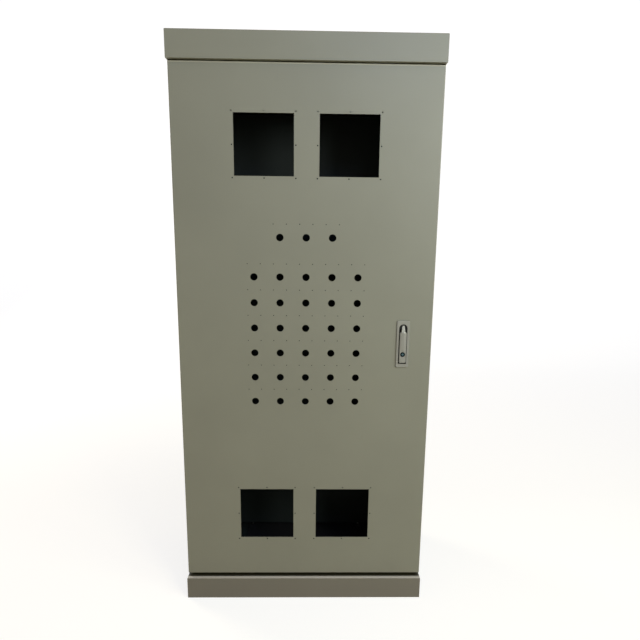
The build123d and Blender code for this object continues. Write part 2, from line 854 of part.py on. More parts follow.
def rod_guide(side, height):
    """Moulded guide on the door's inside that a rod slides through."""
    middle = lock_offset + side * rod_middle
    back = rod_rear + slide_gap + guide_back_wall
    post = block(
        (middle - guide_width / 2, middle + guide_width / 2),
        (door_inside, back),
        (height - guide_height / 2, height + guide_height / 2),
    )
    post = fillet(post.edges().filter_by(Axis.Y), bend)
    foot_half = guide_height / 2 + guide_foot_margin
    foot = block(
        (middle - guide_width / 2, middle + guide_width / 2),
        (door_inside, door_inside + guide_foot),
        (height - foot_half, height + foot_half),
    )
    slot_half = rod_width / 2 + slide_gap
    slot = block(
        (middle - slot_half, middle + slot_half),
        (rod_face - slide_gap, rod_rear + slide_gap),
        (height - guide_height, height + guide_height),
    )
    return post + foot - slot


def fasteners():
    """Groups of like bolts and screws."""
    at_spindle = [(lock_offset + x, latch_rear, spindle_height + z) for x, z in pillar_places]
    at_dish = [(x, dish_back + latch_plate_sheet, z) for x, z in lock_screw_places()]
    latch_length = latch_rear - dish_back + clamp_wall / 2
    lock_length = latch_plate_sheet + dish_floor / 2
    bolt = (bolt_radius, bolt_head_radius, bolt_head_height)
    screw = (screw_radius, screw_head_radius, screw_head_height)
    up = (0, 0, 1)
    back = (0, 1, 0)
    return {
        "plinth_bolts": bolts(plinth_bolt_places, up, *bolt, body_sheet + plinth_sheet),
        "roof_cap_bolts": bolts(cap_bolt_places, (0, 0, -1), *bolt, body_sheet),
        "gland_plate_screws": bolts(gland_screw_places, up, *screw, gland_sheet + body_sheet),
        "rear_panel_screws": bolts(rear_screw_places, back, *screw, body_sheet),
        "mounting_plate_bolts": bolts(plate_bolt_places, (0, -1, 0), *bolt, plate_sheet + angle_sheet),
        "latch_screws": bolts(at_spindle, back, *screw, latch_length),
        "lock_screws": bolts(at_dish, back, *screw, lock_length),
    }


def hinges():
    """Three hinges, named from the lowest up."""
    pieces = {}
    for name, height in zip(("lower", "middle", "upper"), hinge_heights):
        pieces[f"{name}_hinge_lug"] = hinge_frame_lug(height)
        pieces[f"{name}_hinge_leaf"] = hinge_door_leaf(height)
        pieces[f"{name}_hinge_pin"] = hinge_pin(height)
    return pieces


def rod_guides():
    """Two guides for each rod, one near its end and one half way."""
    upper_end = door_top - door_flange - guide_end_inset
    lower_end = door_bottom + door_flange + guide_end_inset
    upper_mid = spindle_height + (upper_end - spindle_height) * guide_mid_share
    lower_mid = spindle_height + (lower_end - spindle_height) * guide_mid_share
    return {
        "upper_end_rod_guide": rod_guide(1, upper_end),
        "upper_mid_rod_guide": rod_guide(1, upper_mid),
        "lower_mid_rod_guide": rod_guide(-1, lower_mid),
        "lower_end_rod_guide": rod_guide(-1, lower_end),
    }


def all_pieces():
    """Every piece of the cabinet by its node's name."""
    left_panel = side_panel()
    left_angle = support_angle()
    right_stiffener = door_stiffener()
    body_stud = (-body_half + stud_end_inset, frame_inside + stud_end_inset, floor_top)
    door_stud = (-door_half + door_stud_inset, door_inside, door_bottom + door_stud_inset)
    return {
        "plinth": plinth(),
        "left_side_panel": left_panel,
        "right_side_panel": mirrored_x(left_panel),
        "floor_panel": floor_panel(),
        "top_panel": top_panel(),
        "rear_panel": rear_panel(),
        "roof_cap": roof_cap(),
        "gland_plate": gland_plate(),
        "left_support_angle": left_angle,
        "right_support_angle": mirrored_x(left_angle),
        "mounting_plate": mounting_plate(),
        "body_earth_stud": earth_stud(body_stud, (0, 0, 1)),
        "door_panel": door_panel(),
        "door_gasket": door_gasket(),
        "left_door_stiffener": mirrored_x(right_stiffener),
        "right_door_stiffener": right_stiffener,
        "door_earth_stud": earth_stud(door_stud, (0, 1, 0)),
        "lock_escutcheon": lock_escutcheon(),
        "lock_clamp": lock_clamp(),
        "latch_base_plate": latch_base_plate(),
        "latch_back_plate": latch_plate(latch_face, spindle_radius + running_gap),
        "latch_pillars": latch_pillars(),
        "lift_spring": lift_spring(),
        "spindle": spindle(),
        "spindle_clip": spindle_clip(),
        "latch_pinion": latch_pinion(),
        "handle_pin": handle_pin(),
        "handle_lever": handle_lever(),
        "lock_button": lock_button(),
        "key_plug": key_plug(),
        "upper_rod": lock_rod(True),
        "lower_rod": lock_rod(False),
        **hinges(),
        **rod_guides(),
        **fasteners(),
    }


os.makedirs("parts", exist_ok=True)
for node, piece in all_pieces().items():
    export_step(piece, f"parts/{node}.step")
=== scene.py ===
# %% [markdown]
# A floor-standing sheet-steel cabinet, dressed for a picture.
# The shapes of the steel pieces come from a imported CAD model, in metres, with the door facing -Y.
# This file adds what CAD leaves plain: finishes, a soft seal, the crown of the handle, two threads, a stage,
# light and a camera.

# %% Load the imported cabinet
import json
import math
import bmesh
import bpy
import numpy as np
from mathutils import Matrix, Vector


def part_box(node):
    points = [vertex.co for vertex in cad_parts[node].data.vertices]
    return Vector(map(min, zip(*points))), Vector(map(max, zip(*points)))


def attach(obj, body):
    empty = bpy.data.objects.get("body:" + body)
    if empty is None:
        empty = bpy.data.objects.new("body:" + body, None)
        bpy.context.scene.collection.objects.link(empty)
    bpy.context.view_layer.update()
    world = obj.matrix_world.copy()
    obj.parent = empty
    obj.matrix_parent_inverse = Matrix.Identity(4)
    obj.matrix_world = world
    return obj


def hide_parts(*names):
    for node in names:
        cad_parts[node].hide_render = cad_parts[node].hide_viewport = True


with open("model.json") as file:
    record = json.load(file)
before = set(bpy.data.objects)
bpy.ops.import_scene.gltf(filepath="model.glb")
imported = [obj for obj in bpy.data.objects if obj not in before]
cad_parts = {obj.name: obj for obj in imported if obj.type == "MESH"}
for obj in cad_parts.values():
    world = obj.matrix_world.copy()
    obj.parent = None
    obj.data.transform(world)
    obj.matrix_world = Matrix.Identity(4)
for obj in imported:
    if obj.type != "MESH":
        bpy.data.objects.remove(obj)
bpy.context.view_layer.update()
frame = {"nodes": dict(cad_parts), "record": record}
nodes = frame["nodes"]

# %% [markdown]
# The camera stands as close as a person would, somewhat above the cabinet's middle, and looks down a little.
# Close cameras make the lower end look narrower, and that taper fixes how far away the lens has to be.
# The lens and the turns below were worked out from the corners of the door, so no shift is needed.

# %% Camera
LENS = 27.30
SENSOR = 36.0
EYE = (0.0183, -1.6801, 1.2498)
LOOK_DOWN = math.radians(10.43)
LOOK_RIGHT = math.radians(1.01)
LEAN = math.radians(0.65)


def camera_axes(down, right, lean):
    """Columns right, up and back: the view turned right, then down, then leant about its line of sight."""
    level = np.array([math.cos(right), -math.sin(right), 0.0])
    ahead = np.array([math.sin(right), math.cos(right), 0.0])
    forward = math.cos(down) * ahead - np.array([0.0, 0.0, math.sin(down)])
    upright = np.cross(level, forward)
    across = math.cos(lean) * level + math.sin(lean) * upright
    up = math.cos(lean) * upright - math.sin(lean) * level
    return np.column_stack([across, up, -forward])


lens = bpy.data.cameras.new("photo_lens")
lens.lens = LENS
lens.sensor_width = SENSOR
camera = bpy.data.objects.new("photo_camera", lens)
view_turn = Matrix(camera_axes(LOOK_DOWN, LOOK_RIGHT, LEAN).tolist())
camera.matrix_world = Matrix.Translation(EYE) @ view_turn.to_4x4()
bpy.context.scene.collection.objects.link(camera)
bpy.context.scene.camera = camera
print("camera", EYE[2], "m up with a", LENS, "mm lens")

# %% [markdown]
# Every new shape is a grid of points that a formula gives as whole arrays.
# Joining each point to its two neighbours makes quads, and a way that closes on itself is joined round again.
# Points that fall together, as at the pole of a dome, are welded, and then all faces are turned outwards.
# The same helper serves the floor, the seal, the handle's crown and the threads.

# %% From a grid of points to a mesh
WELD = 1e-6


def grid_piece(name, points, loop_rows=False, loop_columns=False):
    """Object whose quads join point (i, j) to (i + 1, j) and (i, j + 1), going round again along a loop."""
    rows, columns = points.shape[:2]
    i = np.arange(rows if loop_rows else rows - 1)
    j = np.arange(columns if loop_columns else columns - 1)
    i, j = (way.ravel() for way in np.meshgrid(i, j, indexing="ij"))
    here = i * columns
    below = (i + 1) % rows * columns
    after = (j + 1) % columns
    quads = np.stack([here + j, below + j, below + after, here + after], 1)
    mesh = bpy.data.meshes.new(name)
    mesh.from_pydata(points.reshape(-1, 3).tolist(), [], quads.tolist())
    shell = bmesh.new()
    shell.from_mesh(mesh)
    bmesh.ops.remove_doubles(shell, verts=shell.verts, dist=WELD)
    bmesh.ops.recalc_face_normals(shell, faces=shell.faces)
    shell.to_mesh(mesh)
    shell.free()
    mesh.polygons.foreach_set("use_smooth", np.ones(len(mesh.polygons), bool))
    piece = bpy.data.objects.new(name, mesh)
    bpy.context.scene.collection.objects.link(piece)
    return piece


print("grid helper ready, welding points closer than", WELD, "m")

# %% [markdown]
# A studio sweep is a sheet of paper that runs along the floor and curves up behind the object.
# One profile, floor then quarter circle then wall, carried sideways, gives it without a visible corner.

# %% Studio sweep
SWEEP_HALF = 9.0
SWEEP_FRONT = -8.0
SWEEP_BEND = 1.5
SWEEP_BACK = 4.0
SWEEP_TOP = 8.0
SWEEP_STEPS = 24


def sweep_profile(front, back, radius, top):
    """Points (y, z): along the floor, round a quarter circle of the given radius, then up the wall."""
    angle = np.linspace(0.0, math.pi / 2, SWEEP_STEPS)
    y = np.concatenate([[front], back - radius + radius * np.sin(angle), [back]])
    z = np.concatenate([[0.0], radius - radius * np.cos(angle), [top]])
    return np.stack([y, z], 1)


profile = sweep_profile(SWEEP_FRONT, SWEEP_BACK, SWEEP_BEND, SWEEP_TOP)
sides = np.array([-SWEEP_HALF, SWEEP_HALF])
points = np.empty((len(sides), len(profile), 3))
points[:, :, 0] = sides[:, None]
points[:, :, 1:] = profile[None]
sweep = grid_piece("studio_sweep", points)
print("sweep of", len(sweep.data.polygons), "faces")

# %% [markdown]
# A material is a tree of nodes, and links carry colours and numbers from each node to the next.
# These helpers add a node, link nodes, and make the kinds of node that come up again and again.

# %% Helpers for materials


def new_material(name):
    """Material with an empty node tree, and that tree."""
    material = bpy.data.materials.new(name)
    material.use_nodes = True
    tree = material.node_tree
    tree.nodes.clear()
    return material, tree


def add_node(tree, kind, values=None, **settings):
    """Node of a kind, with properties from the keywords and input defaults from the values."""
    node = tree.nodes.new(kind)
    for key, value in settings.items():
        setattr(node, key, value)
    for key, value in (values or {}).items():
        node.inputs[key].default_value = value
    return node


def join(tree, *pairs):
    """Links given as pairs of an output and an input."""
    for source, target in pairs:
        tree.links.new(source, target)


def calculated(tree, operation, first, second):
    """Result of a sum such as ADD on two outputs."""
    node = add_node(tree, "ShaderNodeMath", operation=operation)
    join(tree, (first, node.inputs[0]), (second, node.inputs[1]))
    return node.outputs[0]


def ranged(tree, value, limits):
    """Value carried from one range to another, and held at the ends."""
    node = add_node(tree, "ShaderNodeMapRange", limits)
    join(tree, (value, node.inputs["Value"]))
    return node.outputs[0]


def coordinates(tree, system):
    """Place in a coordinate system such as Object, and its X, Y and Z apart."""
    place = add_node(tree, "ShaderNodeTexCoord").outputs[system]
    apart = add_node(tree, "ShaderNodeSeparateXYZ")
    join(tree, (place, apart.inputs[0]))
    return place, apart.outputs


print("material helpers ready: calculated, ranged and coordinates")

# %% [markdown]
# The paper is a warm one, and the light that it throws back warms the lower end of the door.
# Seen by the lens or mirrored in metal it also glows, so that it reads as white without more light falling
# on the cabinet. The glow is a little blue, which makes up for the warm paper and the warm room.
# It is weaker on the floor than on the wall, so that the floor isn't too bright to show the soft shadow.

# %% Paper of the sweep
PAPER = (0.5, 0.44, 0.31, 1.0)
PAPER_TINT = (0.89, 0.93, 1.0, 1.0)
FLOOR_GLOW = 0.77
WALL_GLOW = 0.95
GLOW_TURN = 0.5
glow_limits = {"From Min": GLOW_TURN, "From Max": SWEEP_BACK, "To Min": FLOOR_GLOW, "To Max": WALL_GLOW}


def seen_or_mirrored(tree):
    """Output that is 1 for rays from the lens, a mirror or glass, and 0 for light that falls on things."""
    rays = add_node(tree, "ShaderNodeLightPath").outputs
    direct = calculated(tree, "MAXIMUM", rays["Is Camera Ray"], rays["Is Glossy Ray"])
    return calculated(tree, "MAXIMUM", direct, rays["Is Transmission Ray"])


paper, tree = new_material("sweep_paper")
place, apart = coordinates(tree, "Object")
strength = ranged(tree, apart["Y"], glow_limits)
sheet_shader = add_node(tree, "ShaderNodeBsdfDiffuse", {"Color": PAPER})
glow = add_node(tree, "ShaderNodeEmission", {"Color": PAPER_TINT})
total = add_node(tree, "ShaderNodeAddShader")
out = add_node(tree, "ShaderNodeOutputMaterial")
join(
    tree,
    (calculated(tree, "MULTIPLY", seen_or_mirrored(tree), strength), glow.inputs["Strength"]),
    (sheet_shader.outputs[0], total.inputs[0]),
    (glow.outputs[0], total.inputs[1]),
    (total.outputs[0], out.inputs["Surface"]),
)
sweep.data.materials.append(paper)
print("paper glows", FLOOR_GLOW, "on the floor and", WALL_GLOW, "on the wall")

# %% [markdown]
# Three broad lamps light the front: a soft one on the right, one like a tall window further round, and a
# weak, cooler one overhead. They stand near, so they fade across the door, and the lower left corner is the
# darkest. All come from above or from the side, so little of their light reaches behind the windows.
# A fourth lamp stands behind on the left, for the sides that face away.
# Each row gives a lamp's place, what it aims at, its side, and its watts of red, green and blue.

# %% Lamps
LAMPS = {
    "front_lamp": ((1.4, -2.0, 1.7), (0.0, -0.19, 1.2), 0.8, (22.2, 22.6, 21.6)),
    "window_lamp": ((2.4, -1.4, 2.2), (0.2, -0.19, 1.3), 1.0, (17.8, 21.2, 23.0)),
    "ceiling_lamp": ((0.6, -2.0, 2.6), (0.0, -0.19, 1.2), 0.8, (3.8, 5.2, 10.0)),
    "back_lamp": ((-3.2, 2.0, 2.5), (0.0, 0.1, 1.0), 1.2, (52.0, 52.0, 52.0)),
}
UP = (0.0, 0.0, 1.0)


def soft_lamp(name, place, aim, side, watts):
    """Square area lamp at a place, turned so that its -Z axis points at the aim."""
    light = bpy.data.lights.new(name, "AREA")
    light.size = side
    light.energy = max(watts)
    light.color = np.divide(watts, max(watts))
    away = np.subtract(place, aim)
    away = away / np.linalg.norm(away)
    across = np.cross(UP, away)
    across = across / np.linalg.norm(across)
    axes = np.column_stack([across, np.cross(away, across), away])
    lamp = bpy.data.objects.new(name, light)
    lamp.matrix_world = Matrix.Translation(place) @ Matrix(axes.tolist()).to_4x4()
    bpy.context.scene.collection.objects.link(lamp)


for name, row in LAMPS.items():
    soft_lamp(name, *row)
print(len(LAMPS), "lamps")

# %% [markdown]
# The room round the lamps is even and a little warmer near the floor. To the lens and in mirrors it is white.

# %% Room
ROOM_ABOVE = (0.35, 0.3, 0.225, 1.0)
ROOM_BELOW = (0.365, 0.29, 0.19, 1.0)
ROOM_BLEND = 0.5
WHITE = (1.0, 1.0, 1.0, 1.0)
world = bpy.data.worlds.new("studio_room")
bpy.context.scene.world = world
world.use_nodes = True
tree = world.node_tree
room = tree.nodes["Background"]
way, slope = coordinates(tree, "Generated")
rise = ranged(tree, slope["Z"], {"From Min": -ROOM_BLEND, "From Max": ROOM_BLEND})
light_here = add_node(tree, "ShaderNodeMix", {"A": ROOM_BELOW, "B": ROOM_ABOVE}, data_type="RGBA")
shown_white = add_node(tree, "ShaderNodeMix", {"B": WHITE}, data_type="RGBA")
join(
    tree,
    (rise, light_here.inputs["Factor"]),
    (seen_or_mirrored(tree), shown_white.inputs["Factor"]),
    (light_here.outputs["Result"], shown_white.inputs["A"]),
    (shown_white.outputs["Result"], room.inputs["Color"]),
)
bpy.context.scene.view_settings.view_transform = "Standard"
print("room from", ROOM_BELOW[:3], "below to", ROOM_ABOVE[:3], "above")

# %% [markdown]
# An effect that several finishes share is a node group: a small machine with named inputs and outputs that
# is built once. These helpers make its sockets, and the mixes and noises that both groups below use.

# %% Helpers for node groups
FLOAT, COLOUR = "NodeSocketFloat", "NodeSocketColor"
SKIN_OUTPUTS = [("Colour", COLOUR), ("Roughness", FLOAT), ("Height", FLOAT)]
NEVER = 10.0


def new_group(name, inputs, outputs):
    """Shader node group with named sockets: inputs hold (name, kind, value), outputs hold (name, kind)."""
    group = bpy.data.node_groups.new(name, "ShaderNodeTree")
    for socket, kind, value in inputs:
        entry = group.interface.new_socket(socket, in_out="INPUT", socket_type=kind)
        entry.default_value = value
    for socket, kind in outputs:
        group.interface.new_socket(socket, in_out="OUTPUT", socket_type=kind)
    return group, add_node(group, "NodeGroupInput").outputs, add_node(group, "NodeGroupOutput").inputs


def multiplied(tree, colour, factor):
    """Colour times a factor that changes over the surface."""
    product = add_node(tree, "ShaderNodeMix", {"Factor": 1.0}, data_type="RGBA", blend_type="MULTIPLY")
    join(tree, (colour, product.inputs["A"]), (factor, product.inputs["B"]))
    return product.outputs["Result"]


def mixed(tree, factor, first, second):
    """First colour where the factor is 0, second colour where it is 1."""
    mix = add_node(tree, "ShaderNodeMix", data_type="RGBA")
    join(tree, (factor, mix.inputs["Factor"]), (first, mix.inputs["A"]), (second, mix.inputs["B"]))
    return mix.outputs["Result"]


def noise(tree, place, per_metre, detail):
    """Smooth noise from 0 to 1 with so many features to the metre, given as a number or as an output."""
    node = add_node(tree, "ShaderNodeTexNoise", {"Detail": detail})
    join(tree, (place, node.inputs["Vector"]))
    if isinstance(per_metre, bpy.types.NodeSocket):
        join(tree, (per_metre, node.inputs["Scale"]))
    else:
        node.inputs["Scale"].default_value = per_metre
    return node.outputs["Fac"]


print("group helpers ready, each skin puts out", [socket for socket, kind in SKIN_OUTPUTS])

# %% [markdown]
# Powder coat is paint that is baked on as dust. Close up it has a fine ripple like orange skin, and over a
# large door it is never quite one tone. Near the floor it gathers some dust, in patches.
# Above a given height an edge takes a painted highlight, standing in for the light that an upper edge or ledge
# catches, and behind a given depth a ledge turns to painted shade, as under the door.

# %% Powder-coat group
TONE_PER_METRE, TONE_DETAIL = 3.5, 3.0
TONE_LIMITS = {"From Min": 0.3, "From Max": 0.7, "To Min": 0.955, "To Max": 1.04}
PATCHES_PER_METRE, PATCH_DETAIL = 38.0, 4.0
DUST_LIMITS = {"To Min": 0.6, "To Max": 0.0}
# Painted shade: near-black colour for the back of a ledge, in the shade under the door.
PAINTED_LEDGE_SHADE = (0.028, 0.026, 0.013, 1.0)
PAINTED_LEDGE_SHADE_LIMITS = {"From Max": 0.002}
SATIN_PER_METRE, SATIN_DETAIL = 55.0, 2.0
SATIN_LIMITS = {"To Min": -0.05, "To Max": 0.05}
PEEL_DETAIL = 1.0


def dusty_paint(tree, place, height, given):
    """Paint times a slow noise, then mixed with dust that thins out up to the dust height."""
    tone = ranged(tree, noise(tree, place, TONE_PER_METRE, TONE_DETAIL), TONE_LIMITS)
    way_up = calculated(tree, "DIVIDE", height, given["Dust height"])
    patches = noise(tree, place, PATCHES_PER_METRE, PATCH_DETAIL)
    dust = calculated(tree, "MULTIPLY", ranged(tree, way_up, DUST_LIMITS), patches)
    return mixed(tree, dust, multiplied(tree, given["Paint"], tone), given["Dust"])


def painted_edge_highlight_and_shade(tree, depth, given):
    """Painted edge highlight that turns to painted shade behind a given depth."""
    tone = add_node(tree, "ShaderNodeMix", {"B": PAINTED_LEDGE_SHADE}, data_type="RGBA")
    behind = calculated(tree, "SUBTRACT", depth, given["Painted ledge shade behind"])
    join(
        tree,
        (ranged(tree, behind, PAINTED_LEDGE_SHADE_LIMITS), tone.inputs["Factor"]),
        (given["Painted edge highlight"], tone.inputs["A"]),
    )
    return tone.outputs["Result"]


coat, given, made = new_group(
    "powder_coat_skin",
    [
        ("Paint", COLOUR, (0.27, 0.27, 0.22, 1.0)),
        ("Dust", COLOUR, (0.2, 0.18, 0.15, 1.0)),
        ("Dust height", FLOAT, 0.15),
        # Painted highlight of an upper edge, and the depth behind which it turns to painted shade
        ("Painted edge highlight", COLOUR, (0.5, 0.5, 0.4, 1.0)),
        ("Edge height", FLOAT, NEVER),
        ("Painted ledge shade behind", FLOAT, NEVER),
        ("Peel per metre", FLOAT, 650.0),
        ("Roughness", FLOAT, 0.42),
    ],
    SKIN_OUTPUTS,
)
place, apart = coordinates(coat, "Object")
# An edge above the edge height takes the painted highlight, and painted shade behind the given depth.
on_edge = calculated(coat, "GREATER_THAN", apart["Z"], given["Edge height"])
face = dusty_paint(coat, place, apart["Z"], given)
satin = ranged(coat, noise(coat, place, SATIN_PER_METRE, SATIN_DETAIL), SATIN_LIMITS)
join(
    coat,
    (mixed(coat, on_edge, face, painted_edge_highlight_and_shade(coat, apart["Y"], given)), made["Colour"]),
    (calculated(coat, "ADD", given["Roughness"], satin), made["Roughness"]),
    (noise(coat, place, given["Peel per metre"], PEEL_DETAIL), made["Height"]),
)
print("powder-coat group with", len(coat.nodes), "nodes")

# %% [markdown]
# Plated and cast metal is told apart by its grain: zinc shows crystals, rolled steel shows lines, and a
# casting is even. One group gives all three: it mixes a cell pattern and a stretched noise, and each finish
# sets how much of each. The group can also darken what lies behind a given depth: painted shade that
# stands in for the shade deep in the lock's dish.

# %% Metal-grain group
LINE_DETAIL = 3.0
GLOSS_LIMITS = {"To Min": -0.08, "To Max": 0.08}
# Painted shade in the lock's dish: the colour falls to 0.12 of itself over 1.5 mm behind the given depth.
PAINTED_DISH_SHADE_LIMITS = {"From Max": 0.0015, "To Min": 1.0, "To Max": 0.12}


def crystal_tone(tree, place, per_metre):
    """One tone from 0 to 1 for each cell of a Voronoi pattern."""
    cells = add_node(tree, "ShaderNodeTexVoronoi")
    tone = add_node(tree, "ShaderNodeSeparateColor")
    join(
        tree,
        (place, cells.inputs["Vector"]),
        (per_metre, cells.inputs["Scale"]),
        (cells.outputs["Color"], tone.inputs[0]),
    )
    return tone.outputs[0]


def grain_lines(tree, place, stretch, per_metre):
    """Noise whose Z is multiplied by the stretch, so that a small stretch draws it out into lines along Z."""
    scale = add_node(tree, "ShaderNodeCombineXYZ", {"X": 1.0, "Y": 1.0})
    stretched = add_node(tree, "ShaderNodeVectorMath", operation="MULTIPLY")
    join(
        tree,
        (stretch, scale.inputs["Z"]),
        (place, stretched.inputs[0]),
        (scale.outputs[0], stretched.inputs[1]),
    )
    return noise(tree, stretched.outputs[0], per_metre, LINE_DETAIL)


grain, given, made = new_group(
    "metal_grain",
    [
        ("Metal", COLOUR, (0.5, 0.5, 0.5, 1.0)),
        ("Crystals per metre", FLOAT, 120.0),
        ("Crystal share", FLOAT, 0.5),
        ("Line stretch", FLOAT, 1.0),
        ("Grains per metre", FLOAT, 420.0),
        ("Darkest", FLOAT, 0.82),
        ("Lightest", FLOAT, 1.14),
        ("Roughness", FLOAT, 0.4),
        # Depth behind which the colour is darkened as painted shade
        ("Painted dish shade behind", FLOAT, NEVER),
    ],
    SKIN_OUTPUTS,
)
place, apart = coordinates(grain, "Object")
lines = grain_lines(grain, place, given["Line stretch"], given["Grains per metre"])
blend = add_node(grain, "ShaderNodeMix", data_type="FLOAT")
pattern = blend.outputs["Result"]
tone = add_node(grain, "ShaderNodeMapRange")
behind = calculated(grain, "SUBTRACT", apart["Y"], given["Painted dish shade behind"])
toned = multiplied(grain, given["Metal"], tone.outputs[0])
gloss = ranged(grain, pattern, GLOSS_LIMITS)
join(
    grain,
    (given["Crystal share"], blend.inputs["Factor"]),
    (lines, blend.inputs["A"]),
    (crystal_tone(grain, place, given["Crystals per metre"]), blend.inputs["B"]),
    (pattern, tone.inputs["Value"]),
    (given["Darkest"], tone.inputs["To Min"]),
    (given["Lightest"], tone.inputs["To Max"]),
    (multiplied(grain, toned, ranged(grain, behind, PAINTED_DISH_SHADE_LIMITS)), made["Colour"]),
    (calculated(grain, "ADD", given["Roughness"], gloss), made["Roughness"]),
    (lines, made["Height"]),
)
print("metal-grain group with", len(grain.nodes), "nodes")

# %% [markdown]
# Each finish is then one group with its own numbers, a bump from the group's height, and a plain shader.
# Values that are the same all over, such as Metallic, stay on the shader itself.

# %% From a group to a finish


def finish(name, group, values, bump, shader):
    """Material whose colour, roughness and bump come from a group; bump is its depth in metres."""
    material, tree = new_material(name)
    skin = add_node(tree, "ShaderNodeGroup", node_tree=group)
    for key, value in values.items():
        skin.inputs[key].default_value = value
    relief = add_node(tree, "ShaderNodeBump", {"Strength": 1.0, "Distance": bump})
    surface = add_node(tree, "ShaderNodeBsdfPrincipled", shader)
    out = add_node(tree, "ShaderNodeOutputMaterial")
    join(
        tree,
        (skin.outputs["Colour"], surface.inputs["Base Color"]),
        (skin.outputs["Roughness"], surface.inputs["Roughness"]),
        (skin.outputs["Height"], relief.inputs["Height"]),
        (relief.outputs[0], surface.inputs["Normal"]),
        (surface.outputs[0], out.inputs["Surface"]),
    )
    return material


finishes = {}
print("finish helper ready for", coat.name, "and", grain.name)

# %% [markdown]
# The door's upper edge, just under the roof cap, has a painted highlight that makes up for the cap's shade.
# The plinth stands out ahead of the door as a ledge: its front has a painted highlight, as if lit from above,
# and the part under the door has painted shade, near black.

# %% Painted highlights and shade on the door and the plinth
DOOR_EDGE = 0.0045
# Painted highlight along the door's upper edge, making up for the roof cap's shade.
DOOR_PAINTED_HIGHLIGHT = (0.47, 0.475, 0.38, 1.0)
PLINTH_EDGE = 0.0008
PLINTH_LEDGE = 0.01
# Painted highlight on the front of the plinth's ledge, as if lit from above; further back, under the door, the
# ledge takes painted shade.
PLINTH_PAINTED_HIGHLIGHT = (0.55, 0.52, 0.45, 1.0)
door_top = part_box("door_panel")[1][2]
plinth_low, plinth_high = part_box("plinth")
edges = {
    "door_paint": {"Painted edge highlight": DOOR_PAINTED_HIGHLIGHT, "Edge height": door_top - DOOR_EDGE},
    "plinth_paint": {
        "Painted edge highlight": PLINTH_PAINTED_HIGHLIGHT,
        "Edge height": plinth_high[2] - PLINTH_EDGE,
        "Painted ledge shade behind": plinth_low[1] + PLINTH_LEDGE,
    },
}
print("pale edges on", ", ".join(edges))

# %% [markdown]
# Paint, plastic and foam all use the powder-coat group. The mounting plate inside is a near-black, matt paint:
# painted shade that stands in for the shade inside the closed cabinet.
# Each row gives the colour, how high the dust climbs, the roughness, how deep the ripple is, and the values
# that stay on the shader.

# %% Painted, moulded and foamed finishes
PAINTED = {"Specular IOR Level": 0.35}
MATT = {"Specular IOR Level": 0.12}
DULL = {"Specular IOR Level": 0.03}
CABINET_GREY = (0.268, 0.272, 0.21)
CABINET_DUST, PLINTH_SPLASH, NO_DUST = 0.15, 0.09, 0.01
PAINT_ROUGH = 0.42
PAINT_RIPPLE, BUTTON_RIPPLE, PLASTIC_RIPPLE, FOAM_RIPPLE = 0.00004, 0.000005, 0.00003, 0.0001
coats = {
    "cabinet_paint": (CABINET_GREY, CABINET_DUST, PAINT_ROUGH, PAINT_RIPPLE, PAINTED),
    # The door's and the plinth's finishes also take the painted edge highlight and shade given above.
    "door_paint": (CABINET_GREY, CABINET_DUST, PAINT_ROUGH, PAINT_RIPPLE, PAINTED),
    "plinth_paint": ((0.2, 0.19, 0.148), PLINTH_SPLASH, PAINT_ROUGH, PAINT_RIPPLE, PAINTED),
    # Painted shade: the plate's near-black colour stands in for the shade inside the closed cabinet.
    "plate_paint": ((0.022, 0.028, 0.027), NO_DUST, 0.6, PAINT_RIPPLE, MATT),
    "button_blue": ((0.003, 0.009, 0.013), NO_DUST, 0.5, BUTTON_RIPPLE, DULL),
    "black_plastic": ((0.018, 0.018, 0.02), NO_DUST, 0.5, PLASTIC_RIPPLE, PAINTED),
    "gasket_foam": ((0.022, 0.022, 0.022), NO_DUST, 0.85, FOAM_RIPPLE, PAINTED),
}
for name, (paint, dust_height, roughness, bump, shader) in coats.items():
    values = {"Paint": (*paint, 1.0), "Dust height": dust_height, "Roughness": roughness}
    finishes[name] = finish(name, coat, values | edges.get(name, {}), bump, shader)
print(len(coats), "coated finishes")

# %% [markdown]
# The metals use the grain group: sheet with zinc crystals, plated screws, drawn steel with lines along it,
# the bright plug of the key, and the satin casting of the lock with a very fine grain and painted shade in its
# dish.
# Each row gives the colour, the values for the group, and the values that stay on the shader.

# %% Metal finishes
METAL = {"Metallic": 1.0}
SATIN = {"Metallic": 0.35}
# The painted shade of the dish begins this far behind the escutcheon's rim.
DISH_SHADE = 0.0008
METAL_BUMP = 0.000006
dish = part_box("lock_escutcheon")[0][1] + DISH_SHADE
fine_grain = {"Grains per metre": 1500.0, "Darkest": 0.95, "Lightest": 1.05}
metals = {
    "zinc_sheet": ((0.46, 0.47, 0.48), {"Crystal share": 0.8, "Roughness": 0.45}, METAL),
    "zinc_fastener": ((0.6, 0.6, 0.58), {"Crystal share": 0.1, "Roughness": 0.35}, METAL),
    "latch_steel": ((0.4, 0.4, 0.4), {"Crystal share": 0.0, "Line stretch": 0.04}, METAL),
    "plug_bright": ((0.09, 0.15, 0.16), {"Crystal share": 0.0, "Roughness": 0.3}, METAL),
    "satin_die_cast": (
        (0.285, 0.285, 0.24),
        {"Crystal share": 0.0, "Roughness": 0.36, "Painted dish shade behind": dish, **fine_grain},
        SATIN,
    ),
}
for name, (metal, values, shader) in metals.items():
    finishes[name] = finish(name, grain, {"Metal": (*metal, 1.0), **values}, METAL_BUMP, shader)
print(len(metals), "metal finishes")

# %% [markdown]
# Every piece of the imported model belongs to a material slot, and each slot now has a finish of the same name.
# The floor inside takes the mounting plate's near-black finish, painted shade for the dark inside of the
# cabinet, and the door takes its own finish with the painted highlight on its upper edge.

